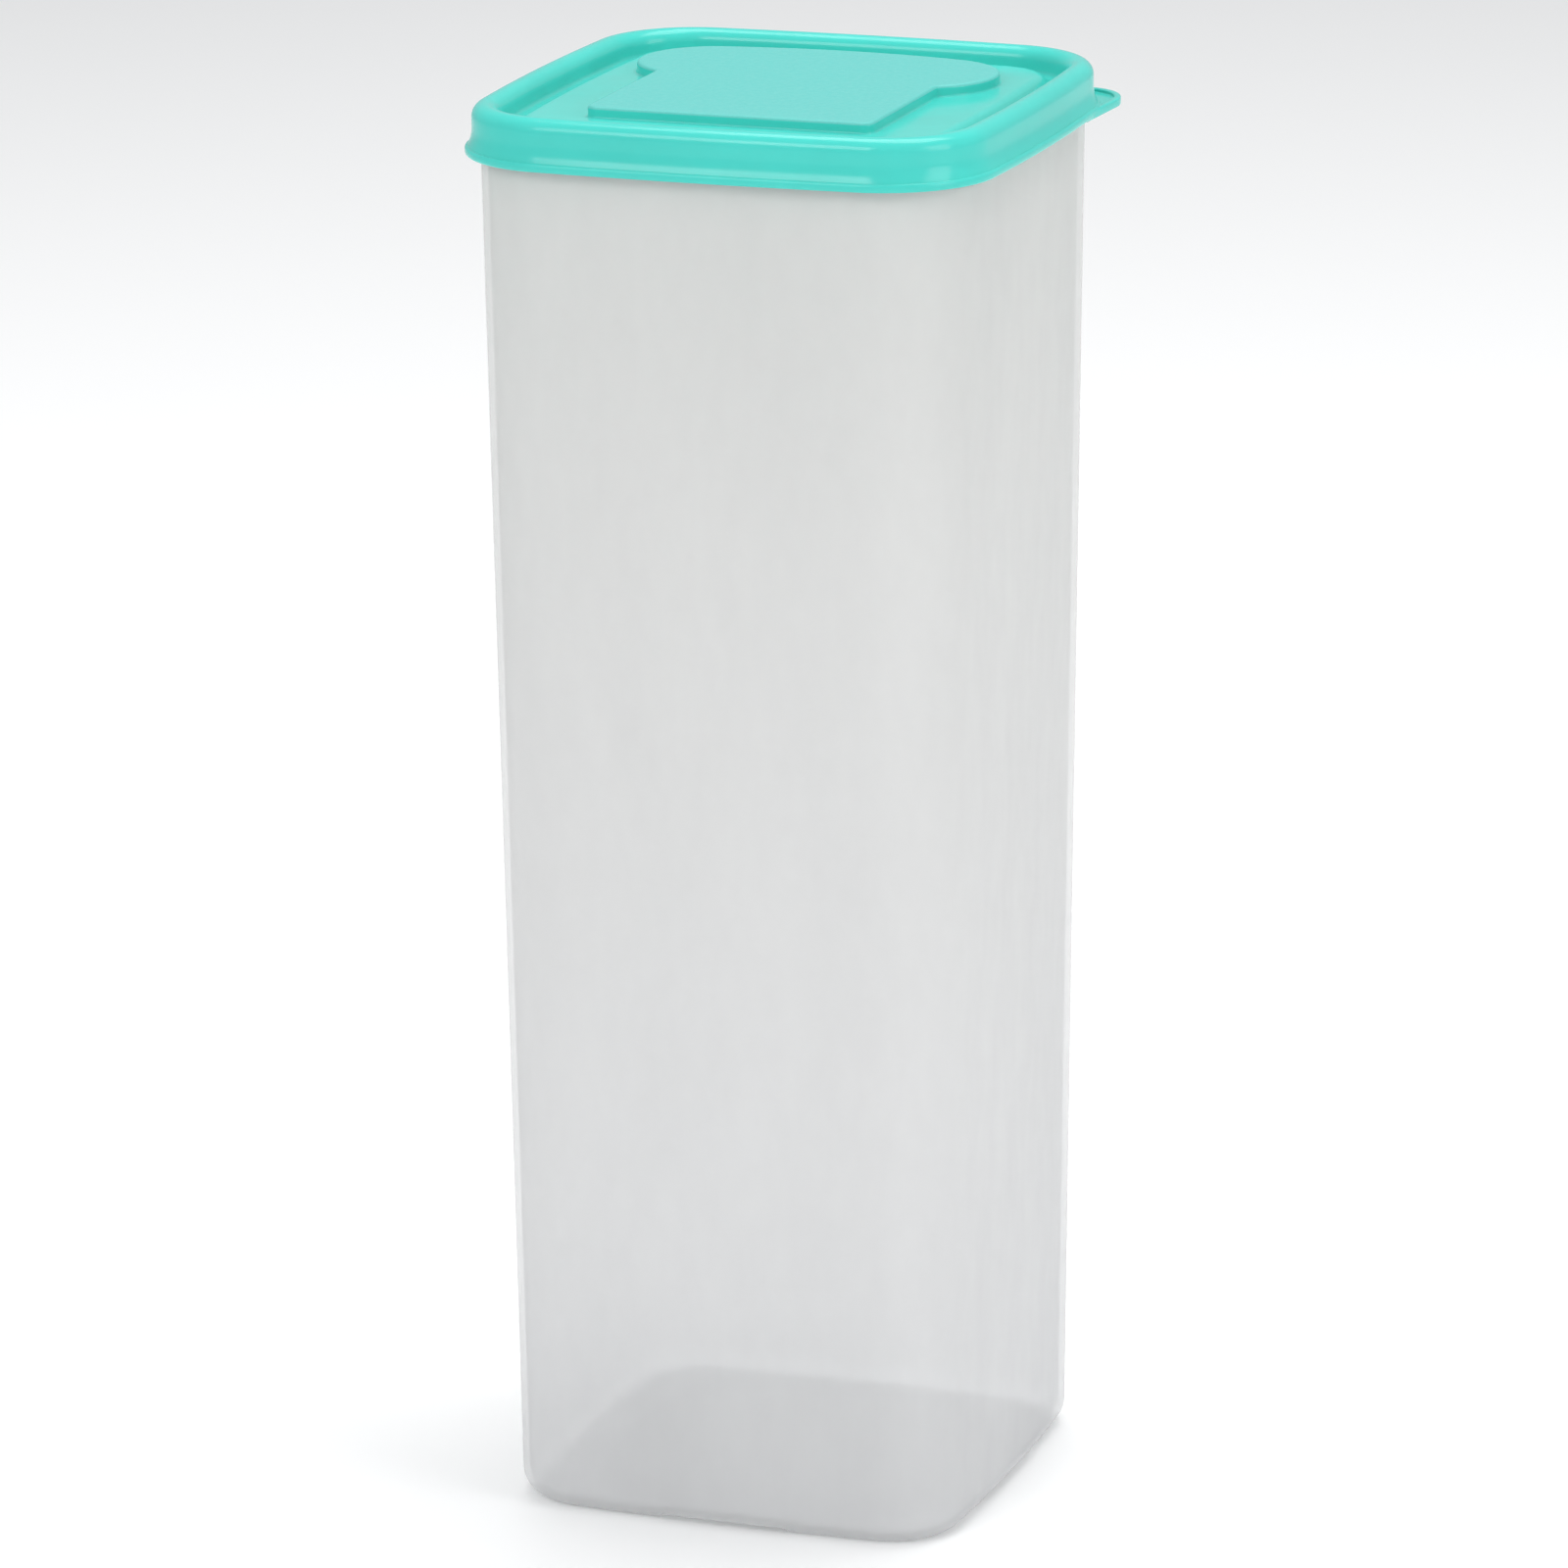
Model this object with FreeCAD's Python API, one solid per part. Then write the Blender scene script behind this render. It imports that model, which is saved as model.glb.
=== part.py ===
"""A square food canister for a sliced loaf: a tall moulded bin and a soft snap lid with a corner pull tab.

Everything is in millimetres. The origin is on the surface the canister stands on, under the middle of the
bin. +Z is up, -Y is the side with the bread slice's flat end, and the pull tab points to +X +Y.
"""

import FreeCAD, Part
import math
import os

UP = FreeCAD.Vector(0, 0, 1)

# Overall
HEIGHT = 325.0            # from the feet to the top of the lid's crest

# Bin
MOUTH_HALF = 57.25        # half the outer width of the neck under the rim, at the middle of a side
MOUTH_CORNER = 20.5       # outer corner radius there
SIDE_BOW = 1.0            # how far the middle of a side bulges past its ends
DRAFT = 4.55              # how far the wall leans in from the rim to the feet
WALL = 1.5
FLOOR = 1.8
HEEL_RADIUS = 6.0         # outer round between the wall and the floor
WALL_STEP = 1.4           # how far the wall stands out from the neck that the lid goes over
SHOULDER_FOOT = 314.5     # where the wall starts to step in
SHOULDER_TOP = 317.5
RIM_BASE = 320.0          # where the neck ends and the upright rim starts
RIM_TOP = 323.1
RIM_BEAD = 0.95           # how far the rim's bead stands out
RELIEF_WIDTH = 28.0       # the raised stretch between two feet
RELIEF_HEIGHT = 1.8
KICK_HALF = 39.0          # the raised middle of the floor
KICK_CORNER = 15.0
KICK_BOW = 0.5
KICK_HEIGHT = 3.0

# Lid, with distances u outward from the rim's outer face
LID_WALL = 1.0
CREST_CENTRE = 0.2
CREST_RADIUS = 3.1
SKIRT_BEND = 319.4        # where the skirt starts to flare
COVE_END = 315.6          # where the flare meets the lip
COVE_FLARE = 0.95
LIP_REACH = 4.9
LIP_WIDTH = 1.35
LIP_BOTTOM = 313.6
SNAP_REACH = 1.4          # how near the snap bead comes to the rim's outer face
SNAP_TOP = 319.2          # where the snap bead ends
MOAT_LEVEL = 319.4        # the groove round the recess
FIELD_LEVEL = 321.9       # the recess's flat middle
MOAT_ROUND = 1.0          # round between the groove and the crest's inner wall
MOAT_EDGE = -5.0
FIELD_EDGE = -10.0

# Bread-slice panel
SLICE_RISE = 2.6
SLICE_FOOT_Y = -39.0      # flat end of the slice
SLICE_HALF = 33.3         # half the width between the straight sides
SLICE_FOOT_CORNER = 2.6
LOBE_X = 25.3
LOBE_RADIUS = 17.0
CROWN_Y = 41.0            # the slice's highest point in plan
CROWN_RADIUS = 150.0
SLICE_NOTCH_ROUND = 1.5
SLICE_EDGE_ROUND = 0.8

# Pull tab
TAB_TOP = 314.4           # level of the plate's upper face
TAB_TIP_CENTRE = 50.5
TAB_TIP_RADIUS = 11.5
TAB_SPLAY = 3.2           # degrees by which the tab's straight edges lean outward
TAB_EDGE_RUN = 19.0       # length of each straight edge
TAB_PLATE = 1.2
TAB_EDGE_RISE = 0.8
TAB_EDGE_WIDTH = 1.2

TOLERANCE = 0.01          # for picking edges by where they are


class Outline:
    """A rounded square whose sides are gentle arcs that run into the corner arcs without a kink."""

    def __init__(self, half, corner, bow):
        self.corner = corner
        self.side = (half - corner) ** 2 / (2 * bow)
        self.side_shift = half - self.side
        reach = 2 * (self.side - corner) ** 2 - self.side_shift ** 2
        self.corner_shift = (self.side_shift + math.sqrt(reach)) / 2
        self.swing = math.degrees(math.atan2(self.corner_shift, self.corner_shift - self.side_shift))

    def arcs(self):
        """(centre, radius, first angle, last angle) of the side and the corner of each quarter."""
        for quarter in range(4):
            turn = FreeCAD.Rotation(UP, 90 * quarter)
            start = 90 * quarter
            side_centre = turn.multVec(FreeCAD.Vector(self.side_shift, 0, 0))
            corner_centre = turn.multVec(FreeCAD.Vector(self.corner_shift, self.corner_shift, 0))
            yield side_centre, self.side, start - self.swing, start + self.swing
            yield corner_centre, self.corner, start + self.swing, start + 90 - self.swing

    def wire(self, offset, level):
        """The outline moved outward by offset, at height level."""
        edges = []
        for centre, radius, first, last in self.arcs():
            centre = centre + UP * level
            circle = Part.Circle(centre, UP, radius + offset)
            edges.append(Part.Arc(circle, math.radians(first), math.radians(last)).toShape())
        return Part.Wire(edges)

    def prism(self, offset, bottom, top):
        face = Part.Face(self.wire(offset, bottom))
        return face.extrude(UP * (top - bottom))

    def ring(self, section):
        """Carries a section round the outline. Its edges are in the XZ plane, with x as the outward distance."""
        face = Part.Face(Part.Wire(section))
        pieces = []
        for centre, radius, first, last in self.arcs():
            placed = face.copy()
            placed.translate(FreeCAD.Vector(radius, 0, 0))
            placed.rotate(FreeCAD.Vector(), UP, first)
            placed.translate(centre)
            pieces.append(placed.revolve(centre, UP, last - first))
        return pieces[0].fuse(pieces[1:]).removeSplitter()


def at(u, level):
    return FreeCAD.Vector(u, 0, level)


def line(start, end):
    return Part.LineSegment(start, end).toShape()


def arc(start, middle, end):
    return Part.Arc(start, middle, end).toShape()


def round_corner(start, corner, end):
    """A quarter round from start to end that is tangent to the two lines which meet at corner."""
    centre = start + end - corner
    middle = centre + (corner - centre).normalize() * centre.distanceToPoint(start)
    return arc(start, middle, end)


def bin_outline():
    """The neck's outer face at the rim. Every other level of the bin is an even offset of it."""
    return Outline(MOUTH_HALF, MOUTH_CORNER, SIDE_BOW)


def wall_reach(level):
    """How far the bin's outer face stands out from the rim's face at a level below it."""
    lean = DRAFT * (RIM_BASE - level) / RIM_BASE
    return -lean if level > SHOULDER_FOOT else WALL_STEP - lean


def tapered_block(inset, bottom, heel):
    """A solid that follows the bin's wall, shoulder and neck, inset from them, with a rounded bottom edge."""
    outline = bin_outline()
    levels = (bottom, SHOULDER_FOOT, SHOULDER_TOP, RIM_BASE)
    wires = [outline.wire(wall_reach(level) - inset, level) for level in levels]
    wall, shoulder, neck = (Part.makeLoft([low, high], True, True) for low, high in zip(wires, wires[1:]))
    lowest = [edge for edge in wall.Edges if edge.BoundBox.ZMax < bottom + TOLERANCE]
    return wall.makeFillet(heel, lowest).fuse([shoulder, neck]).removeSplitter()


def relief_bars(bottom, top, widening):
    """Two crossed bars, one along X and one along Y, with sides that slant at 45 degrees."""
    top_half = RELIEF_WIDTH / 2 + widening
    bottom_half = top_half + top - bottom
    corners = [
        FreeCAD.Vector(0, -bottom_half, bottom),
        FreeCAD.Vector(0, bottom_half, bottom),
        FreeCAD.Vector(0, top_half, top),
        FreeCAD.Vector(0, -top_half, top),
    ]
    section = Part.Face(Part.makePolygon(corners + corners[:1]))
    section.translate(FreeCAD.Vector(-2 * MOUTH_HALF, 0, 0))
    along_x = section.extrude(FreeCAD.Vector(4 * MOUTH_HALF, 0, 0))
    along_y = along_x.copy()
    along_y.rotate(FreeCAD.Vector(), UP, 90)
    return along_x.fuse(along_y)


def kick_panel(offset, bottom, top):
    """The raised middle of the floor, as a rounded square block."""
    return Outline(KICK_HALF, KICK_CORNER, KICK_BOW).prism(offset, bottom, top)


def rim():
    """The upright rim with its rounded top and the bead that the lid snaps over."""
    bead_bottom = RIM_BASE + RIM_BEAD
    inner_round = WALL / 2
    section = [
        line(at(-WALL, RIM_BASE), at(0, RIM_BASE)),
        line(at(0, RIM_BASE), at(RIM_BEAD, bead_bottom)),
        line(at(RIM_BEAD, bead_bottom), at(RIM_BEAD, RIM_TOP - RIM_BEAD)),
        round_corner(at(RIM_BEAD, RIM_TOP - RIM_BEAD), at(RIM_BEAD, RIM_TOP), at(0, RIM_TOP)),
        line(at(0, RIM_TOP), at(inner_round - WALL, RIM_TOP)),
        round_corner(at(inner_round - WALL, RIM_TOP), at(-WALL, RIM_TOP), at(-WALL, RIM_TOP - inner_round)),
        line(at(-WALL, RIM_TOP - inner_round), at(-WALL, RIM_BASE)),
    ]
    return bin_outline().ring(section)


def canister_body():
    """The bin: a tapered wall, feet at the corners, a raised floor and a beaded rim."""
    outer = tapered_block(0, 0, HEEL_RADIUS)
    cavity = tapered_block(WALL, FLOOR, HEEL_RADIUS - WALL)
    middle = FLOOR / 2
    raised_inside = relief_bars(middle, RELIEF_HEIGHT + FLOOR, middle)
    raised_inside = raised_inside.fuse(kick_panel(0, middle, KICK_HEIGHT + FLOOR))
    below = relief_bars(0, RELIEF_HEIGHT, 0).fuse(kick_panel(-middle, 0, KICK_HEIGHT))
    cavity = cavity.cut(raised_inside)
    return outer.cut(cavity).cut(below).fuse(rim()).removeSplitter()


def lid_rim():
    """The lid's edge: the moat, the plug wall, the crest over the bin's rim, and the skirt with its lip."""
    inner_radius = CREST_RADIUS - LID_WALL
    spring = HEIGHT - CREST_RADIUS
    plug_inside = CREST_CENTRE - CREST_RADIUS
    plug_outside = CREST_CENTRE - inner_radius
    skirt_outside = CREST_CENTRE + CREST_RADIUS
    skirt_inside = CREST_CENTRE + inner_radius
    step = (MOAT_EDGE - FIELD_EDGE) / 2
    rise = (FIELD_LEVEL - MOAT_LEVEL) / 2
    drop = SKIRT_BEND - COVE_END
    cove_angle = 2 * math.atan(COVE_FLARE / drop)
    cove_radius = drop / math.sin(cove_angle)
    cove_centre = skirt_outside + cove_radius

    def cove(radius, angle):
        return at(cove_centre - radius * math.cos(angle), SKIRT_BEND - radius * math.sin(angle))

    def soft_rise(shift):
        """Two equal arcs from the moat up to the field, shifted down by the wall for the underside."""
        foot = at(MOAT_EDGE, MOAT_LEVEL - shift)
        middle = at(MOAT_EDGE - step, MOAT_LEVEL + rise - shift)
        head = at(FIELD_EDGE, FIELD_LEVEL - shift)
        sag = math.hypot(step, rise) / 2 * math.tan(math.atan2(rise, step) / 2)
        across = FreeCAD.Vector(-rise, 0, -step).normalize() * sag
        lower = arc(foot, (foot + middle) / 2 + across, middle)
        upper = arc(middle, (middle + head) / 2 - across, head)
        return lower, upper

    inner_cove = cove_radius + LID_WALL
    snap_low = cove(inner_cove, cove_angle / 2)
    snap_high = at(skirt_inside, SNAP_TOP)
    snap_peak = at(SNAP_REACH, (snap_low.z + snap_high.z) / 2)
    cove_foot = cove(cove_radius, cove_angle)
    lip_round = LIP_REACH - cove_foot.x
    lip_high = at(LIP_REACH, COVE_END - lip_round)
    lip_low = at(LIP_REACH, LIP_BOTTOM + lip_round)
    lip_floor = at(LIP_REACH - lip_round, LIP_BOTTOM)
    lip_inside = at(LIP_REACH - LIP_WIDTH, LIP_BOTTOM)
    moat_under = MOAT_LEVEL - LID_WALL
    low_rise, high_rise = soft_rise(0)
    low_under, high_under = soft_rise(LID_WALL)
    section = [
        line(at(FIELD_EDGE, FIELD_LEVEL - LID_WALL), at(FIELD_EDGE, FIELD_LEVEL)),
        high_rise,
        low_rise,
        line(at(MOAT_EDGE, MOAT_LEVEL), at(plug_inside - MOAT_ROUND, MOAT_LEVEL)),
        round_corner(
            at(plug_inside - MOAT_ROUND, MOAT_LEVEL),
            at(plug_inside, MOAT_LEVEL),
            at(plug_inside, MOAT_LEVEL + MOAT_ROUND),
        ),
        line(at(plug_inside, MOAT_LEVEL + MOAT_ROUND), at(plug_inside, spring)),
        arc(at(plug_inside, spring), at(CREST_CENTRE, HEIGHT), at(skirt_outside, spring)),
        line(at(skirt_outside, spring), at(skirt_outside, SKIRT_BEND)),
        arc(at(skirt_outside, SKIRT_BEND), cove(cove_radius, cove_angle / 2), cove_foot),
        round_corner(cove_foot, at(LIP_REACH, cove_foot.z), lip_high),
        line(lip_high, lip_low),
        round_corner(lip_low, at(LIP_REACH, LIP_BOTTOM), lip_floor),
        line(lip_floor, lip_inside),
        line(lip_inside, cove(inner_cove, cove_angle)),
        arc(cove(inner_cove, cove_angle), cove(inner_cove, cove_angle * 3 / 4), snap_low),
        arc(snap_low, snap_peak, snap_high),
        line(snap_high, at(skirt_inside, spring)),
        arc(at(skirt_inside, spring), at(CREST_CENTRE, HEIGHT - LID_WALL), at(plug_outside, spring)),
        line(at(plug_outside, spring), at(plug_outside, moat_under + MOAT_ROUND)),
        round_corner(
            at(plug_outside, moat_under + MOAT_ROUND),
            at(plug_outside, moat_under),
            at(plug_outside - MOAT_ROUND, moat_under),
        ),
        line(at(plug_outside - MOAT_ROUND, moat_under), at(MOAT_EDGE, moat_under)),
        low_under,
        high_under,
    ]
    return bin_outline().ring(section)


def slice_wire(level):
    """The bread slice in plan: a flat foot, straight sides, a notch, and two lobes under a shallow crown."""
    crown_centre = CROWN_Y - CROWN_RADIUS
    lobe_y = crown_centre + math.sqrt((CROWN_RADIUS - LOBE_RADIUS) ** 2 - LOBE_X ** 2)
    lean = math.atan2(LOBE_X, lobe_y - crown_centre)
    notch = math.acos((SLICE_HALF - LOBE_X) / LOBE_RADIUS)

    def half(side):
        """The edges on one side of the middle, from the foot round to the crown."""

        def point(x, y):
            return FreeCAD.Vector(side * x, y, level)

        def lobe(angle):
            return point(LOBE_X + LOBE_RADIUS * math.cos(angle), lobe_y + LOBE_RADIUS * math.sin(angle))

        def crown(angle):
            return point(CROWN_RADIUS * math.sin(angle), crown_centre + CROWN_RADIUS * math.cos(angle))

        foot = point(SLICE_HALF - SLICE_FOOT_CORNER, SLICE_FOOT_Y)
        heel = point(SLICE_HALF, SLICE_FOOT_Y + SLICE_FOOT_CORNER)
        shoulder_angle = math.pi / 2 - lean
        return [
            line(point(0, SLICE_FOOT_Y), foot),
            round_corner(foot, point(SLICE_HALF, SLICE_FOOT_Y), heel),
            line(heel, lobe(-notch)),
            arc(lobe(-notch), lobe((shoulder_angle - notch) / 2), lobe(shoulder_angle)),
            arc(crown(lean), crown(lean / 2), crown(0)),
        ]

    return Part.Wire(Part.sortEdges(half(1) + half(-1))[0])


def slice_face(level):
    """The slice's face with its two notches rounded."""
    prism = Part.Face(slice_wire(level)).extrude(UP)
    notches = [
        edge for edge in prism.Edges
        if abs(abs(edge.CenterOfMass.x) - SLICE_HALF) < TOLERANCE and edge.CenterOfMass.y > 0
    ]
    rounded = prism.makeFillet(SLICE_NOTCH_ROUND, notches)
    return min(rounded.Faces, key=lambda face: face.CenterOfMass.z)


def slice_block(inset, bottom, top, edge_round):
    """A block in the slice's shape with a rounded top edge."""
    face = slice_face(bottom)
    if inset:
        face = face.makeOffset2D(-inset)
    block = face.extrude(UP * (top - bottom))
    upper = [edge for edge in block.Edges if edge.BoundBox.ZMin > top - TOLERANCE]
    return block.makeFillet(edge_round, upper)


def tab_wire(level):
    """The pull tab in plan: the squared-off corner of the lip, closed by a straight line under the skirt."""
    splay = math.radians(TAB_SPLAY)

    def tip(angle):
        x = TAB_TIP_CENTRE + TAB_TIP_RADIUS * math.cos(angle)
        y = TAB_TIP_CENTRE + TAB_TIP_RADIUS * math.sin(angle)
        return FreeCAD.Vector(x, y, level)

    right_tip = tip(-splay)
    right_root = right_tip - FreeCAD.Vector(math.sin(splay), math.cos(splay), 0) * TAB_EDGE_RUN
    back_tip = FreeCAD.Vector(right_tip.y, right_tip.x, level)
    back_root = FreeCAD.Vector(right_root.y, right_root.x, level)
    return Part.Wire([
        line(right_root, right_tip),
        arc(right_tip, tip(math.pi / 4), back_tip),
        line(back_tip, back_root),
        line(back_root, right_root),
    ])


def pull_tab():
    """A flat corner plate with a raised bead along its edge, cut clear of the skirt's inside."""
    bottom = TAB_TOP - TAB_PLATE
    full_height = UP * (TAB_PLATE + TAB_EDGE_RISE)
    plate = Part.Face(tab_wire(bottom)).extrude(UP * TAB_PLATE)
    bead = Part.Face(tab_wire(bottom)).extrude(full_height)
    inside = tab_wire(bottom).makeOffset2D(-TAB_EDGE_WIDTH)
    bead = bead.cut(Part.Face(inside).extrude(full_height))
    under_skirt = bin_outline().prism(LIP_REACH - LIP_WIDTH, bottom, SKIRT_BEND)
    return plate.fuse(bead).cut(under_skirt)


def lid():
    """The snap lid: rim, recessed field, hollow bread-slice panel and pull tab, all one moulding."""
    field = bin_outline().prism(FIELD_EDGE, FIELD_LEVEL - LID_WALL, FIELD_LEVEL)
    panel_top = FIELD_LEVEL + SLICE_RISE
    panel = slice_block(0, FIELD_LEVEL - LID_WALL, panel_top, SLICE_EDGE_ROUND)
    hollow = slice_block(LID_WALL, FIELD_LEVEL - 2 * LID_WALL, panel_top - LID_WALL, SLICE_EDGE_ROUND / 2)
    return lid_rim().fuse([field, panel, pull_tab()]).cut(hollow).removeSplitter()


os.makedirs("parts", exist_ok=True)
for name, shape in (("canister_body", canister_body()), ("lid", lid())):
    solids = shape.Solids
    print(name, "valid", shape.isValid(), "solids", len(solids), "volume", round(shape.Volume), shape.BoundBox)
    solids[0].exportStep(f"parts/{name}.step")
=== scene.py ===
"""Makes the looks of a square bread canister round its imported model.

It has a milky bin and a soft turquoise snap lid.
"""

import math

import bmesh
import bpy
from bpy.props import FloatProperty, FloatVectorProperty, PointerProperty
from mathutils import Matrix, Vector


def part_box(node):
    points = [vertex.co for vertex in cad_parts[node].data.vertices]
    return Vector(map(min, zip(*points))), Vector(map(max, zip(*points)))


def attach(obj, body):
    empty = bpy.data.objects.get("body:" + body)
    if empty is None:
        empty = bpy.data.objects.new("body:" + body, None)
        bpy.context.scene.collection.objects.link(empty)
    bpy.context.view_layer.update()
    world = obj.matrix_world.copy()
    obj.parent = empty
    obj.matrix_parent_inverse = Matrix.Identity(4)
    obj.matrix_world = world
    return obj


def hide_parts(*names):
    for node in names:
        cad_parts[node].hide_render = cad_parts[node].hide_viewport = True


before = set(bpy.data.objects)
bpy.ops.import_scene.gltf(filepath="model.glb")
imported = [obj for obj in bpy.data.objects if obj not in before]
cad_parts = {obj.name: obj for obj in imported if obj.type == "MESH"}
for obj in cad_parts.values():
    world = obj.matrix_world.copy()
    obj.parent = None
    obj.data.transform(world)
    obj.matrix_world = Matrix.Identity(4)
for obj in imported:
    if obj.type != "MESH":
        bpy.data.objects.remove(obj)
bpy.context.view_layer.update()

bl_info = {
    "name": "Bread Canister",
    "version": (1, 0, 0),
    "blender": (4, 5, 0),
    "location": "3D View > Sidebar > Canister",
    "description": "Makes a square food canister with a snap lid, and a pale stage for it",
    "category": "Object",
}

MM = 0.001
BIN_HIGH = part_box("canister_body")[1]
LID_LOW, LID_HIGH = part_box("lid")

# The outline of the neck under the rim, which every level of the bin and the lid's edge follow
MOUTH_HALF = 57.25 * MM
MOUTH_CORNER = 20.5 * MM
SIDE_BOW = 1.0 * MM
SIDE_STEPS = 12
CORNER_STEPS = 20

# Bin
DRAFT = 4.55 * MM
WALL_STEP = 1.4 * MM
SHOULDER_FOOT = 314.5 * MM
SHOULDER_TOP = 317.5 * MM
RIM_BASE = 320.0 * MM
RIM_TOP = BIN_HIGH.z
RIM_BEAD = 0.95 * MM
RIM_ROUND = 0.3 * MM
FLOOR_STRIP = 1.2 * MM
KICK_HALF = 39.0 * MM
KICK_CORNER = 15.0 * MM
KICK_BOW = 0.5 * MM
KICK_RUN = 1.4 * MM

# Lid, with distances outward from the bin's outline
LID_WALL = 1.0 * MM
CREST_CENTRE = 0.2 * MM
CREST_RADIUS = 3.1 * MM
SKIRT_BEND = 319.4 * MM
COVE_END = 315.6 * MM
COVE_FLARE = 0.95 * MM
LIP_REACH = -LID_LOW.x - MOUTH_HALF
LIP_WIDTH = 1.35 * MM
LIP_BOTTOM = 313.6 * MM
SNAP_REACH = 1.4 * MM
SNAP_TOP = 319.2 * MM
MOAT_LEVEL = 319.4 * MM
MOAT_ROUND = 1.0 * MM
MOAT_EDGE = -5.0 * MM
FIELD_LEVEL = 321.9 * MM
FIELD_EDGE = -10.0 * MM
FLAT_MARGIN = 0.6 * MM
SKIRT_CLEARANCE = 1.0 * MM

# Bread-slice panel
SLICE_HALF = 33.3 * MM
SLICE_FOOT_Y = -39.0 * MM
SLICE_FOOT_CORNER = 2.6 * MM
SLICE_NOTCH_ROUND = 1.5 * MM
LOBE_X = 25.3 * MM
LOBE_RADIUS = 17.0 * MM
CROWN_Y = 41.0 * MM
CROWN_RADIUS = 150.0 * MM
SLICE_FOOT_ROUND = 0.5 * MM
SLICE_EDGE_ROUND = 0.8 * MM
SLICE_INNER_ROUND = 0.4 * MM
FROSTED_REACH = 0.5 * MM

# Pull tab
TAB_TOP = 314.4 * MM
TAB_TIP_CENTRE = 50.5 * MM
TAB_TIP_RADIUS = 11.5 * MM
TAB_SPLAY = 3.2
TAB_EDGE_RUN = 19.0 * MM
TAB_DEPTH = 8.2 * MM
TAB_ROUND = 0.35 * MM

MERGE_DISTANCE = 0.002 * MM
SHARP_ANGLE = math.radians(38)

# Stage, in metres
FLOOR_RADIUS = 6
VIEW_LIMIT = 50
LIGHT_TARGET = (0, 0, 0.18)
SKY_COLOUR = (0.97, 0.985, 1.0)
SKY_STRENGTH = 0.5


class BinSettings(bpy.types.PropertyGroup):
    """Sizes and colours of the bin."""

    wall: FloatProperty(
        name="Wall", description="Thickness of the side walls", default=1.5 * MM, unit="LENGTH")
    floor: FloatProperty(
        name="Floor", description="Thickness of the floor", default=1.8 * MM, unit="LENGTH")
    heel: FloatProperty(
        name="Heel radius", description="Outer round between wall and floor", default=6 * MM, unit="LENGTH")
    relief_width: FloatProperty(
        name="Relief width", description="Width of the raised stretch between feet",
        default=28 * MM, unit="LENGTH")
    relief_height: FloatProperty(
        name="Relief height", description="How far it is raised", default=1.8 * MM, unit="LENGTH")
    kick_height: FloatProperty(
        name="Kick-up", description="How far the middle of the floor is raised",
        default=3 * MM, unit="LENGTH")
    low_tint: FloatVectorProperty(
        name="Lower tint", description="Colour of the plastic near the floor",
        default=(0.715, 0.717, 0.725), subtype="COLOR", size=3)
    high_tint: FloatVectorProperty(
        name="Upper tint", description="Colour of the plastic near the mouth",
        default=(0.72, 0.715, 0.70), subtype="COLOR", size=3)
    haze: FloatProperty(
        name="Haze", description="Share of the view that each face of the wall hides",
        default=0.42, subtype="FACTOR", min=0, max=1)


class LidSettings(bpy.types.PropertyGroup):
    """Sizes and colours of the lid."""

    slice_rise: FloatProperty(
        name="Panel height", description="Height of the bread-slice panel", default=2.6 * MM, unit="LENGTH")
    tab_plate: FloatProperty(
        name="Tab thickness", description="Thickness of the pull tab", default=1.2 * MM, unit="LENGTH")
    tab_bead: FloatProperty(
        name="Tab bead", description="Height of the bead along the tab's edge",
        default=0.8 * MM, unit="LENGTH")
    colour: FloatVectorProperty(
        name="Colour", description="Colour of the glossy plastic",
        default=(0.065, 0.57, 0.505), subtype="COLOR", size=3)
    frosted_colour: FloatVectorProperty(
        name="Frosted colour", description="Colour of the finely grained panel top",
        default=(0.105, 0.50, 0.465), subtype="COLOR", size=3)
    gloss_roughness: FloatProperty(
        name="Roughness", description="Roughness of the glossy plastic",
        default=0.17, subtype="FACTOR", min=0, max=1)


class StageSettings(bpy.types.PropertyGroup):
    """Camera, floor and light."""

    azimuth: FloatProperty(
        name="Azimuth", description="Camera's direction round the canister in degrees", default=19.54)
    elevation: FloatProperty(
        name="Elevation", description="Camera's height angle in degrees", default=15.59)
    roll: FloatProperty(name="Roll", description="Camera's roll in degrees", default=-0.48)
    distance: FloatProperty(
        name="Distance", description="From the camera to its target", default=1.917, unit="LENGTH")
    lens: FloatProperty(
        name="Lens", description="Focal length in millimetres", default=192.9)
    aim: FloatVectorProperty(
        name="Target", description="Point the camera looks at",
        default=(-0.00164, -0.00058, 0.16217), subtype="XYZ", size=3)
    floor_colour: FloatVectorProperty(
        name="Floor", description="Colour of the floor", default=(0.96, 0.96, 0.96), subtype="COLOR", size=3)
    light: FloatProperty(
        name="Light", description="Strength of the soft lights", default=1.0, min=0)


# Outlines and sections


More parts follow.
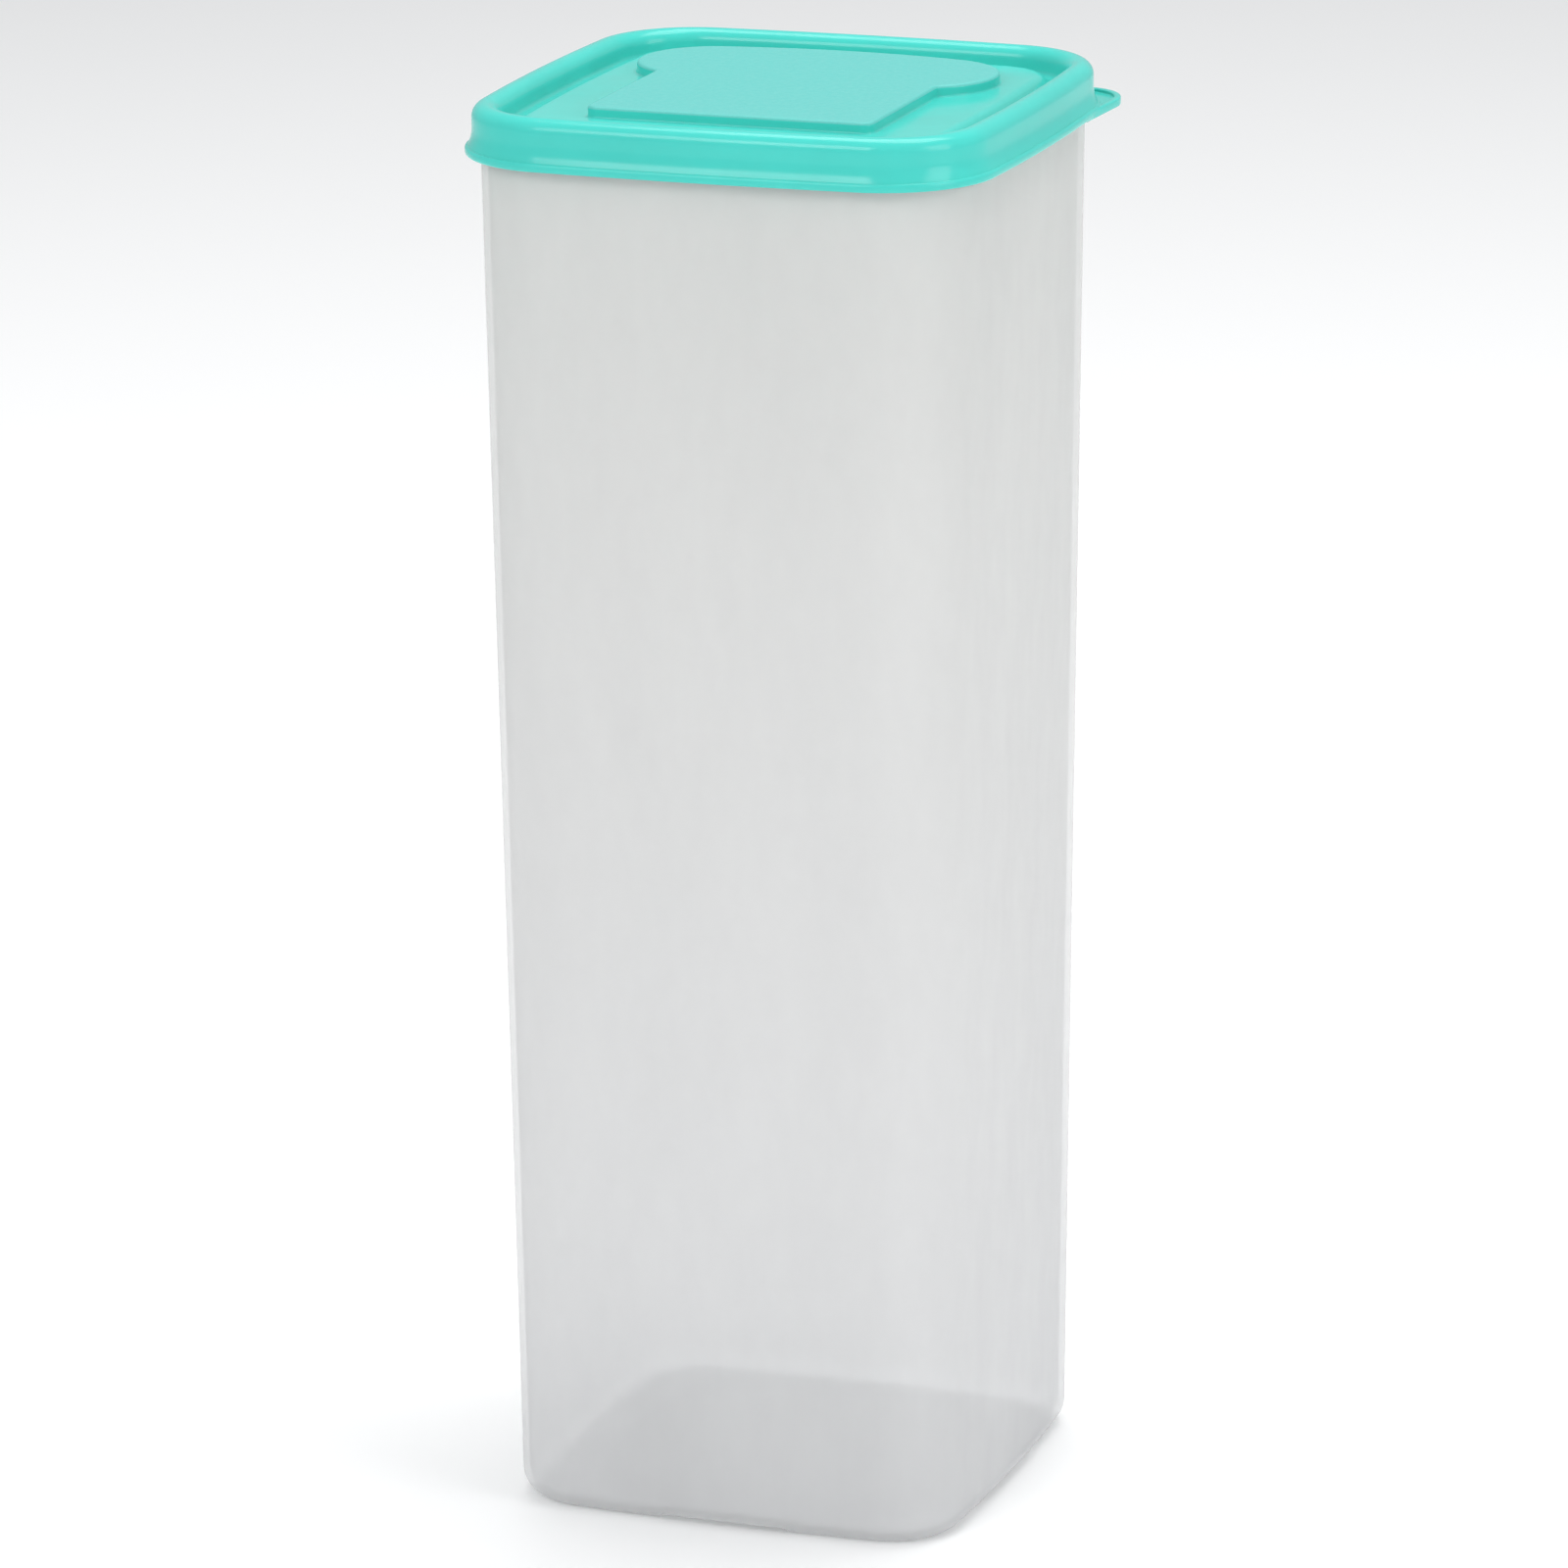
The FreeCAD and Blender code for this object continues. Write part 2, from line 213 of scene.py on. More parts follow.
class Outline:
    """A rounded square whose gently bowed sides run into the corner arcs without a kink."""

    def __init__(self, half, corner, bow):
        self.corner = corner
        self.side = (half - corner) ** 2 / (2 * bow)
        self.side_shift = half - self.side
        reach = 2 * (self.side - corner) ** 2 - self.side_shift ** 2
        self.corner_shift = (self.side_shift + math.sqrt(reach)) / 2
        self.swing = math.degrees(math.atan2(self.corner_shift, self.corner_shift - self.side_shift))

    def start(self):
        """Where a section is placed before it is carried: centre, radius and angle."""
        return Vector((self.side_shift, 0, 0)), self.side, -self.swing

    def moves(self):
        """The turns that carry a section once round."""
        turns = []
        for quarter in range(4):
            turn = Matrix.Rotation(math.radians(90 * quarter), 3, "Z")
            side_centre = turn @ Vector((self.side_shift, 0, 0))
            corner_centre = turn @ Vector((self.corner_shift, self.corner_shift, 0))
            turns.append(("turn", side_centre, 2 * self.swing, SIDE_STEPS))
            turns.append(("turn", corner_centre, 90 - 2 * self.swing, CORNER_STEPS))
        return turns


class Pen:
    """Draws a section as a chain of edges, with x outward from an outline and z up."""

    def __init__(self, mesh, x, z):
        self.mesh = mesh
        self.tip = mesh.verts.new((x, 0, z))

    def line(self, x, z, steps=1):
        """Goes straight to (x, z)."""
        step = (Vector((x, 0, z)) - self.tip.co) / steps
        for _ in range(steps):
            made = bmesh.ops.extrude_vert_indiv(self.mesh, verts=[self.tip])
            self.tip = made["verts"][0]
            bmesh.ops.translate(self.mesh, vec=step, verts=[self.tip])
        return self

    def turn(self, x, z, degrees, steps=5):
        """Goes round (x, z), counter-clockwise when x points right and z up."""
        made = bmesh.ops.spin(
            self.mesh, geom=[self.tip], cent=(x, 0, z), axis=(0, -1, 0),
            angle=math.radians(degrees), steps=steps, use_merge=False)
        self.tip = [item for item in made["geom_last"] if isinstance(item, bmesh.types.BMVert)][0]
        return self


def carry(mesh, start, moves):
    """Places the section drawn in mesh and sweeps it along the moves, then merges where it meets itself."""
    centre, radius, angle = start
    section = mesh.verts[:] + mesh.edges[:]
    verts = mesh.verts[:]
    bmesh.ops.translate(mesh, vec=(radius, 0, 0), verts=verts)
    bmesh.ops.rotate(mesh, cent=(0, 0, 0), matrix=Matrix.Rotation(math.radians(angle), 3, "Z"), verts=verts)
    bmesh.ops.translate(mesh, vec=centre, verts=verts)
    for kind, where, amount, steps in moves:
        if kind == "turn":
            made = bmesh.ops.spin(
                mesh, geom=section, cent=where, axis=(0, 0, 1),
                angle=math.radians(amount), steps=steps, use_merge=False)
        else:
            made = bmesh.ops.spin(
                mesh, geom=section, cent=(0, 0, 0), axis=(0, 0, 1), dvec=where * (amount / steps),
                angle=0, steps=steps, use_merge=False)
        section = made["geom_last"]
    bmesh.ops.remove_doubles(mesh, verts=mesh.verts[:], dist=MERGE_DISTANCE)


def carry_round(mesh, half, corner, bow):
    """Sweeps the section drawn in mesh once round a bowed square."""
    outline = Outline(half, corner, bow)
    carry(mesh, outline.start(), outline.moves())


def open_edges(mesh, level):
    """The edges that bound a hole and lie at one height."""
    return [
        edge for edge in mesh.edges
        if edge.is_boundary and all(abs(vert.co.z - level) < MERGE_DISTANCE for vert in edge.verts)
    ]


def take_data(mesh, name):
    """Turns a bmesh into mesh data and frees it."""
    data = bpy.data.meshes.new(name)
    mesh.to_mesh(data)
    mesh.free()
    return data


def finish_piece(mesh, name, materials):
    """Turns a bmesh into an object with outward normals and smooth rounds."""
    bmesh.ops.remove_doubles(mesh, verts=mesh.verts[:], dist=MERGE_DISTANCE)
    bmesh.ops.recalc_face_normals(mesh, faces=mesh.faces[:])
    data = take_data(mesh, name)
    for material in materials:
        data.materials.append(material)
    data.shade_smooth()
    data.set_sharp_from_angle(angle=SHARP_ANGLE)
    piece = bpy.data.objects.new(name, data)
    bpy.context.scene.collection.objects.link(piece)
    return piece


# The bin


def wall_reach(level):
    """How far the outer face stands out from the rim's face at a level below it."""
    lean = DRAFT * (RIM_BASE - level) / RIM_BASE
    return -lean if level > SHOULDER_FOOT else WALL_STEP - lean


def kick_skin(low, high, inset):
    """The soft step round the raised middle of the floor, and the flat top of it."""
    mesh = bmesh.new()
    rise = (high - low) / 2
    angle = 2 * math.atan2(rise, KICK_RUN)
    radius = KICK_RUN / math.sin(angle)
    edge = -inset
    pen = Pen(mesh, edge + KICK_RUN + FLAT_MARGIN, low)
    pen.line(edge + KICK_RUN, low)
    pen.turn(edge + KICK_RUN, low + radius, -math.degrees(angle), 4)
    pen.turn(edge - KICK_RUN, high - radius, math.degrees(angle), 4)
    pen.line(edge - KICK_RUN - FLAT_MARGIN, high)
    carry_round(mesh, KICK_HALF, KICK_CORNER, KICK_BOW)
    bmesh.ops.contextual_create(mesh, geom=open_edges(mesh, high))
    return take_data(mesh, "kick")


def faces_below(mesh, level):
    """The faces that lie wholly at or below a level."""
    return [face for face in mesh.faces if all(vert.co.z < level + MERGE_DISTANCE for vert in face.verts)]


def raise_reliefs(mesh, width, floor_level, rise, heel_top):
    """Raises the floor in two crossed bands whose sides slant at 45 degrees."""
    half = width / 2
    for axis in (Vector((1, 0, 0)), Vector((0, 1, 0))):
        for place in (-half - rise, -half, half, half + rise):
            low = faces_below(mesh, heel_top)
            around = {item for face in low for item in (*face.edges, *face.verts)}
            bmesh.ops.bisect_plane(
                mesh, geom=low + list(around), dist=MERGE_DISTANCE, plane_co=axis * place, plane_no=axis)
    for vert in mesh.verts:
        inside = min(abs(vert.co.x), abs(vert.co.y)) < half + MERGE_DISTANCE
        if inside and vert.co.z < floor_level + rise:
            vert.co.z = floor_level + rise


def bin_skin(settings, inset, floor_level, rim_pen):
    """One face of the bin, outer or inner: floor with its kick-up and reliefs, heel, wall and rim."""
    mesh = bmesh.new()
    heel = settings.heel - inset
    heel_top = floor_level + heel
    wall_foot = wall_reach(heel_top) - inset
    pen = Pen(mesh, wall_foot - heel - FLOOR_STRIP, floor_level)
    pen.line(wall_foot - heel, floor_level)
    pen.turn(wall_foot - heel, heel_top, 90, 12)
    pen.line(wall_reach(SHOULDER_FOOT) - inset, SHOULDER_FOOT, 24)
    pen.line(wall_reach(SHOULDER_TOP) - inset, SHOULDER_TOP, 2)
    pen.line(-inset, RIM_BASE)
    rim_pen(pen)
    carry_round(mesh, MOUTH_HALF, MOUTH_CORNER, SIDE_BOW)
    kick_level = floor_level + settings.kick_height
    mesh.from_mesh(kick_skin(floor_level, kick_level, inset))
    bmesh.ops.triangle_fill(mesh, use_beauty=True, use_dissolve=False, edges=open_edges(mesh, floor_level))
    raise_reliefs(mesh, settings.relief_width, floor_level, settings.relief_height, heel_top)
    return mesh


def make_bin(settings):
    """The bin as one closed wall, made of an outer and an inner face that meet on top of the rim."""
    wall = settings.wall
    crown = wall / 2

    def outer_rim(pen):
        pen.line(RIM_ROUND, RIM_BASE + RIM_ROUND)
        pen.line(RIM_BEAD - RIM_ROUND, RIM_BASE + RIM_BEAD - RIM_ROUND)
        pen.turn(RIM_BEAD - 2 * RIM_ROUND, RIM_BASE + RIM_BEAD + RIM_ROUND / 2, 45, 3)
        pen.line(RIM_BEAD, RIM_TOP - RIM_BEAD)
        pen.turn(0, RIM_TOP - RIM_BEAD, 90, 8)
        pen.line(crown - wall, RIM_TOP)

    def inner_rim(pen):
        pen.line(-wall, RIM_TOP - crown)
        pen.turn(crown - wall, RIM_TOP - crown, -90, 6)

    outer = bin_skin(settings, 0, 0, outer_rim)
    inner = bin_skin(settings, wall, settings.floor, inner_rim)
    outer.from_mesh(take_data(inner, "inner"))
    return finish_piece(outer, "milky_bin", [milky_plastic(settings)])


# The lid


def draw_soft_rise(pen, level, down=False):
    """The S curve between the moat and the field, drawn inward or, when down, outward."""
    run = (MOAT_EDGE - FIELD_EDGE) / 2
    rise = (FIELD_LEVEL - MOAT_LEVEL) / 2
    angle = 2 * math.atan2(rise, run)
    radius = run / math.sin(angle)
    turn = math.degrees(angle)
    high = level + FIELD_LEVEL - MOAT_LEVEL
    if down:
        pen.turn(FIELD_EDGE, high - radius, -turn, 6)
        pen.turn(MOAT_EDGE, level + radius, turn, 6)
    else:
        pen.turn(MOAT_EDGE, level + radius, -turn, 6)
        pen.turn(FIELD_EDGE, high - radius, turn, 6)


def draw_lid_edge(mesh):
    """The lid's section from the field over the moat, crest and skirt, and back underneath."""
    inner_radius = CREST_RADIUS - LID_WALL
    spring = LID_HIGH.z - CREST_RADIUS
    plug_inside = CREST_CENTRE - CREST_RADIUS
    plug_outside = CREST_CENTRE - inner_radius
    skirt_outside = CREST_CENTRE + CREST_RADIUS
    skirt_inside = CREST_CENTRE + inner_radius
    drop = SKIRT_BEND - COVE_END
    cove_angle = 2 * math.atan2(COVE_FLARE, drop)
    cove_radius = drop / math.sin(cove_angle)
    cove_centre = skirt_outside + cove_radius
    inner_cove = cove_radius + LID_WALL
    lip_round = LIP_REACH - skirt_outside - COVE_FLARE
    cove_degrees = math.degrees(cove_angle)

    pen = Pen(mesh, FIELD_EDGE - FLAT_MARGIN, FIELD_LEVEL)
    pen.line(FIELD_EDGE, FIELD_LEVEL)
    draw_soft_rise(pen, MOAT_LEVEL, down=True)
    pen.line(plug_inside - MOAT_ROUND, MOAT_LEVEL)
    pen.turn(plug_inside - MOAT_ROUND, MOAT_LEVEL + MOAT_ROUND, 90)
    pen.line(plug_inside, spring, 2)
    pen.turn(CREST_CENTRE, spring, -180, 24)
    pen.line(skirt_outside, SKIRT_BEND, 2)
    pen.turn(cove_centre, SKIRT_BEND, cove_degrees, 6)
    pen.turn(LIP_REACH - lip_round, COVE_END - lip_round, -90, 4)
    pen.line(LIP_REACH, LIP_BOTTOM + lip_round)
    pen.turn(LIP_REACH - lip_round, LIP_BOTTOM + lip_round, -90, 4)
    inner_foot_x = cove_centre - inner_cove * math.cos(cove_angle)
    inner_foot_z = SKIRT_BEND - inner_cove * math.sin(cove_angle)
    pen.line(LIP_REACH - LIP_WIDTH, LIP_BOTTOM)
    pen.line(inner_foot_x, inner_foot_z)
    pen.turn(cove_centre, SKIRT_BEND, -cove_degrees / 2, 3)
    snap_foot = pen.tip.co.z
    snap_middle = (snap_foot + SNAP_TOP) / 2
    snap_half = (SNAP_TOP - snap_foot) / 4
    pen.line(SNAP_REACH + snap_half, snap_middle - snap_half, 2)
    pen.turn(SNAP_REACH + snap_half, snap_middle, -180, 6)
    pen.line(skirt_inside, SNAP_TOP, 2)
    pen.line(skirt_inside, spring, 2)
    pen.turn(CREST_CENTRE, spring, 180, 16)
    pen.line(plug_outside, MOAT_LEVEL - LID_WALL + MOAT_ROUND, 2)
    pen.turn(plug_outside - MOAT_ROUND, MOAT_LEVEL - LID_WALL + MOAT_ROUND, -90)
    pen.line(MOAT_EDGE, MOAT_LEVEL - LID_WALL)
    draw_soft_rise(pen, MOAT_LEVEL - LID_WALL)
    pen.line(FIELD_EDGE - FLAT_MARGIN, FIELD_LEVEL - LID_WALL)


def slice_path():
    """The start and the moves that carry a section round half of the bread slice, from crown to foot."""
    crown_centre = CROWN_Y - CROWN_RADIUS
    lobe_y = crown_centre + math.sqrt((CROWN_RADIUS - LOBE_RADIUS) ** 2 - LOBE_X ** 2)
    lean = math.degrees(math.atan2(LOBE_X, lobe_y - crown_centre))
    notch_x = SLICE_HALF + SLICE_NOTCH_ROUND
    fall = math.sqrt((LOBE_RADIUS + SLICE_NOTCH_ROUND) ** 2 - (notch_x - LOBE_X) ** 2)
    notch_y = lobe_y - fall
    notch = math.degrees(math.atan2(fall, notch_x - LOBE_X))
    corner = SLICE_FOOT_CORNER
    side_length = notch_y - SLICE_FOOT_Y - corner
    moves = [
        ("turn", Vector((0, crown_centre, 0)), -lean, 8),
        ("turn", Vector((LOBE_X, lobe_y, 0)), lean - 90 - notch, 36),
        ("turn", Vector((notch_x, notch_y, 0)), notch, 8),
        ("line", Vector((0, -1, 0)), side_length, 6),
        ("turn", Vector((SLICE_HALF - corner, SLICE_FOOT_Y + corner, 0)), -90, 10),
        ("line", Vector((-1, 0, 0)), SLICE_HALF - corner, 4),
    ]
    return (Vector((0, crown_centre, 0)), CROWN_RADIUS, 90), moves


def slice_skin(foot_level, top_level, inset, foot_round, edge_round):
    """The side of the bread-slice panel or of the hollow under it, open at the foot and closed on top."""
    mesh = bmesh.new()
    pen = Pen(mesh, foot_round + FLAT_MARGIN - inset, foot_level)
    pen.line(foot_round - inset, foot_level)
    pen.turn(foot_round - inset, foot_level + foot_round, -90, 4)
    pen.line(-inset, top_level - edge_round, 2)
    pen.turn(-edge_round - inset, top_level - edge_round, 90, 6)
    pen.line(-edge_round - FLAT_MARGIN - inset, top_level)
    start, moves = slice_path()
    carry(mesh, start, moves)
    bmesh.ops.mirror(mesh, geom=mesh.verts[:] + mesh.edges[:] + mesh.faces[:],
                     matrix=Matrix.Identity(4), merge_dist=MERGE_DISTANCE, axis="X")
    bmesh.ops.remove_doubles(mesh, verts=mesh.verts[:], dist=MERGE_DISTANCE)
    bmesh.ops.contextual_create(mesh, geom=open_edges(mesh, top_level))
    return take_data(mesh, "slice")


def tab_solid(settings):
    """The pull tab as a band with a raised edge, wide enough to reach back into the lip."""
    mesh = bmesh.new()
    bead = settings.tab_bead
    bottom = TAB_TOP - settings.tab_plate
    bead_top = TAB_TOP + bead
    bead_foot = -2 * bead - TAB_ROUND
    inner = -TAB_DEPTH
    pen = Pen(mesh, inner, bottom)
    pen.line(inner, TAB_TOP, 2)
    pen.line(bead_foot - FLAT_MARGIN, TAB_TOP, 4)
    pen.line(bead_foot, TAB_TOP)
    pen.turn(bead_foot, TAB_TOP + TAB_ROUND, 90, 4)
    pen.line(-2 * bead, bead_top - bead / 2)
    pen.turn(-1.5 * bead, bead_top - bead / 2, -90, 4)
    pen.line(-bead / 2, bead_top)
    pen.turn(-bead / 2, bead_top - bead / 2, -90, 4)
    pen.line(0, bottom + TAB_ROUND)
    pen.turn(-TAB_ROUND, bottom + TAB_ROUND, -90, 4)
    pen.line(inner, bottom, 4)
    splay = math.radians(TAB_SPLAY)
    tip_centre = Vector((TAB_TIP_CENTRE, TAB_TIP_CENTRE, 0))
    back_along = Vector((-math.cos(splay), -math.sin(splay), 0))
    right_along = Vector((math.sin(splay), math.cos(splay), 0))
    start = (tip_centre - right_along * TAB_EDGE_RUN, TAB_TIP_RADIUS, -TAB_SPLAY)
    moves = [
        ("line", right_along, TAB_EDGE_RUN, 8),
        ("turn", tip_centre, 90 + 2 * TAB_SPLAY, 20),
        ("line", back_along, TAB_EDGE_RUN, 8),
    ]
    carry(mesh, start, moves)
    bmesh.ops.holes_fill(mesh, edges=[edge for edge in mesh.edges if edge.is_boundary], sides=0)
    return finish_piece(mesh, "tab_solid", [])


def skirt_space():
    """The space inside the skirt, which the tab must leave free."""
    mesh = bmesh.new()
    offset = LIP_REACH - LIP_WIDTH
    bottom = LIP_BOTTOM - SKIRT_CLEARANCE
    Pen(mesh, offset, bottom).line(offset, SKIRT_BEND)
    carry_round(mesh, MOUTH_HALF, MOUTH_CORNER, SIDE_BOW)
    bmesh.ops.contextual_create(mesh, geom=open_edges(mesh, bottom))
    bmesh.ops.contextual_create(mesh, geom=open_edges(mesh, SKIRT_BEND))
    return finish_piece(mesh, "skirt_space", [])


def combine(piece, other, operation):
    """Joins or cuts piece with other, which is used up."""
    modifier = piece.modifiers.new("combine", "BOOLEAN")
    modifier.operation = operation
    modifier.solver = "EXACT"
    modifier.object = other
    graph = bpy.context.evaluated_depsgraph_get()
    result = bpy.data.meshes.new_from_object(piece.evaluated_get(graph))
    piece.modifiers.clear()
    old = piece.data
    piece.data = result
    result.name = old.name
    bpy.data.meshes.remove(old)
    bpy.data.objects.remove(other)


def make_lid(settings):
    """The snap lid as one closed shell: edge, field, hollow bread-slice panel and pull tab."""
    mesh = bmesh.new()
    draw_lid_edge(mesh)
    carry_round(mesh, MOUTH_HALF, MOUTH_CORNER, SIDE_BOW)
    panel_top = FIELD_LEVEL + settings.slice_rise
    mesh.from_mesh(slice_skin(FIELD_LEVEL, panel_top, 0, SLICE_FOOT_ROUND, SLICE_EDGE_ROUND))
    mesh.from_mesh(slice_skin(
        FIELD_LEVEL - LID_WALL, panel_top - LID_WALL, LID_WALL, SLICE_INNER_ROUND, SLICE_INNER_ROUND))
    for level in (FIELD_LEVEL, FIELD_LEVEL - LID_WALL):
        bmesh.ops.triangle_fill(mesh, use_beauty=True, use_dissolve=False, edges=open_edges(mesh, level))
    for face in mesh.faces:
        centre = face.calc_center_median()
        on_panel = abs(centre.x) < LOBE_X + LOBE_RADIUS and SLICE_FOOT_Y < centre.y < CROWN_Y
        if on_panel and centre.z > panel_top - FROSTED_REACH:
            face.material_index = 1
    lid = finish_piece(mesh, "snap_lid", [glossy_plastic(settings), frosted_plastic(settings)])
    tab = tab_solid(settings)
    combine(tab, skirt_space(), "DIFFERENCE")
    combine(lid, tab, "UNION")
    lid.data.shade_smooth()
    lid.data.set_sharp_from_angle(angle=SHARP_ANGLE)
    return lid


# Materials


class Shader:
    """A material's node tree with short ways to add the nodes it needs."""

    def __init__(self, name):
        self.material = bpy.data.materials.new(name)
        self.material.use_nodes = True
        self.tree = self.material.node_tree
        self.surface = self.tree.nodes["Principled BSDF"]
        self.place = self.tree.nodes.new("ShaderNodeTexCoord").outputs["Object"]

    def link(self, source, target):
        self.tree.links.new(source, target)

    def noise(self, scale, detail=3.0, roughness=0.5, stretch=(1, 1, 1)):
        """A cloudy pattern from 0 to 1, with scale in features per metre."""
        mapping = self.tree.nodes.new("ShaderNodeMapping")
        mapping.inputs["Scale"].default_value = stretch
        self.link(self.place, mapping.inputs["Vector"])
        node = self.tree.nodes.new("ShaderNodeTexNoise")
        node.inputs["Scale"].default_value = scale
        node.inputs["Detail"].default_value = detail
        node.inputs["Roughness"].default_value = roughness
        self.link(mapping.outputs["Vector"], node.inputs["Vector"])
        return node.outputs["Fac"]

    def spread(self, source, low, high, source_low=0.3, source_high=0.7):
        """Stretches a pattern to run from low to high."""
        node = self.tree.nodes.new("ShaderNodeMapRange")
        node.inputs["From Min"].default_value = source_low
        node.inputs["From Max"].default_value = source_high
        node.inputs["To Min"].default_value = low
        node.inputs["To Max"].default_value = high
        self.link(source, node.inputs["Value"])
        return node.outputs["Result"]

    def height(self):
        """The height above the surface that the canister stands on."""
        node = self.tree.nodes.new("ShaderNodeSeparateXYZ")
        self.link(self.place, node.inputs["Vector"])
        return node.outputs["Z"]

    def blend(self, share, first, second):
        """A colour that goes from first to second; each is a colour or another node's output."""
        node = self.tree.nodes.new("ShaderNodeMix")
        node.data_type = "RGBA"
        self.link(share, node.inputs["Factor"])
        for name, colour in (("A", first), ("B", second)):
            socket = [item for item in node.inputs if item.name == name and item.type == "RGBA"][0]
            if isinstance(colour, bpy.types.NodeSocket):
                self.link(colour, socket)
            else:
                socket.default_value = (*colour, 1.0)
        return [item for item in node.outputs if item.type == "RGBA"][0]

    def bump(self, pattern, depth, before=None):
        """Raises the surface by a pattern, depth metres high, on top of an earlier bump."""
        node = self.tree.nodes.new("ShaderNodeBump")
        node.inputs["Strength"].default_value = 1.0
        node.inputs["Distance"].default_value = depth
        self.link(pattern, node.inputs["Height"])
        if before is not None:
            self.link(before, node.inputs["Normal"])
        return node.outputs["Normal"]

    def set(self, name, value):
        """Gives the surface a fixed value or a node's output."""
        socket = self.surface.inputs[name]
        if isinstance(value, bpy.types.NodeSocket):
            self.link(value, socket)
        elif isinstance(value, (int, float)):
            socket.default_value = value
        else:
            socket.default_value = (*value, 1.0)


def shade(colour, factor):
    """The colour made lighter or darker by a factor."""
    return tuple(channel * factor for channel in colour)


def milky_plastic(settings):
    """Translucent natural polypropylene: satin, faintly cloudy, with shallow waves from the mould."""
    shader = Shader("milky_polypropylene")
    cloud = shader.spread(shader.noise(14, 3.0, 0.55, (1, 1, 0.35)), 0.0, 1.0)
    height = shader.spread(shader.height(), 0.0, 1.0, 0.0, RIM_TOP)
    tint = shader.blend(height, settings.low_tint, settings.high_tint)
    pale = shader.blend(height, shade(settings.low_tint, 1.05), shade(settings.high_tint, 1.05))
    shader.set("Base Color", shader.blend(cloud, tint, pale))
    shader.set("Roughness", shader.spread(shader.noise(60, 4.0), 0.30, 0.38))
    mist = shader.noise(22, 4.0, 0.6, (1, 1, 0.4))
    shader.set("Alpha", shader.spread(mist, settings.haze - 0.03, settings.haze + 0.05))
    shader.set("IOR", 1.49)
    shader.set("Specular IOR Level", 0.0)
    shader.set("Coat Weight", 0.12)
    shader.set("Coat Roughness", 0.3)
    waves = shader.bump(shader.noise(16, 1.0, 0.4, (1, 1, 0.5)), 0.12 * MM)
    grain = shader.bump(shader.noise(900, 3.0), 0.01 * MM, waves)
    shader.set("Normal", grain)
    return shader.material


def scatter_light(shader):
    """Lets a little light into the plastic, as turquoise polyethylene does."""
    shader.set("Subsurface Weight", 0.12)
    shader.set("Subsurface Scale", 2 * MM)
    shader.surface.inputs["Subsurface Radius"].default_value = (0.4, 1.0, 0.9)
    shader.set("IOR", 1.51)


def glossy_plastic(settings):
    """Soft turquoise polyethylene with a satin gloss and faint flow clouds."""
    shader = Shader("glossy_turquoise_polyethylene")
    cloud = shader.spread(shader.noise(30, 4.0, 0.6), 0.0, 1.0)
    shader.set("Base Color", shader.blend(cloud, shade(settings.colour, 0.97), shade(settings.colour, 1.05)))
    low = settings.gloss_roughness
    shader.set("Roughness", shader.spread(shader.noise(110, 4.0), low - 0.03, low + 0.05))
    scatter_light(shader)
    shader.set("Specular IOR Level", 0.25)
    waves = shader.bump(shader.noise(45, 1.0, 0.4), 0.12 * MM)
    peel = shader.bump(shader.noise(1400, 2.0), 0.004 * MM, waves)
    shader.set("Normal", peel)
    return shader.material


def frosted_plastic(settings):
    """The same plastic where the mould is finely etched, so that it looks paler and dull."""
    shader = Shader("frosted_turquoise_polyethylene")
    speck = shader.spread(shader.noise(2600, 2.0, 0.7), 0.0, 1.0)
    dark = shade(settings.frosted_colour, 0.95)
    shader.set("Base Color", shader.blend(speck, dark, shade(settings.frosted_colour, 1.04)))
    shader.set("Roughness", shader.spread(shader.noise(700, 4.0), 0.48, 0.62))
    scatter_light(shader)
    shader.set("Normal", shader.bump(shader.noise(2600, 3.0, 0.7), 0.03 * MM))
    return shader.material


def floor_surface(colour):
    shader = Shader("pale_floor")
    shader.set("Base Color", shader.blend(shader.noise(3, 2.0), shade(colour, 0.995), colour))
    shader.set("Roughness", 0.7)
    return shader.material


# Stage


def add_softbox(name, place, aim, size, power):
    """A rectangular area light that points at aim."""
    light = bpy.data.lights.new(name, "AREA")
    light.shape = "RECTANGLE"
    light.size, light.size_y = size
    light.energy = power
    lamp = bpy.data.objects.new(name, light)
    lamp.location = place
    lamp.rotation_euler = (Vector(aim) - Vector(place)).to_track_quat("-Z", "Y").to_euler()
    bpy.context.scene.collection.objects.link(lamp)


def add_camera(settings):
    azimuth, elevation = math.radians(settings.azimuth), math.radians(settings.elevation)
    back = Vector((
        math.sin(azimuth) * math.cos(elevation),
        -math.cos(azimuth) * math.cos(elevation),
        math.sin(elevation),
    ))
    data = bpy.data.cameras.new("camera")
    data.lens = settings.lens
    data.clip_end = VIEW_LIMIT
    camera = bpy.data.objects.new("camera", data)
    camera.location = Vector(settings.aim) + back * settings.distance
    turn = (-back).to_track_quat("-Z", "Y").to_matrix() @ Matrix.Rotation(math.radians(settings.roll), 3, "Z")
    camera.rotation_euler = turn.to_euler()
    bpy.context.scene.collection.objects.link(camera)
    bpy.context.scene.camera = camera


def add_floor(settings):
    mesh = bmesh.new()
    bmesh.ops.create_circle(mesh, cap_ends=True, segments=64, radius=FLOOR_RADIUS)
    floor = finish_piece(mesh, "floor", [floor_surface(settings.floor_colour)])


def add_world():
    world = bpy.data.worlds.new("soft_room")
    world.use_nodes = True
    background = world.node_tree.nodes["Background"]
    background.inputs["Color"].default_value = (*SKY_COLOUR, 1)
    background.inputs["Strength"].default_value = SKY_STRENGTH
    bpy.context.scene.world = world


# Operators, panel and registration


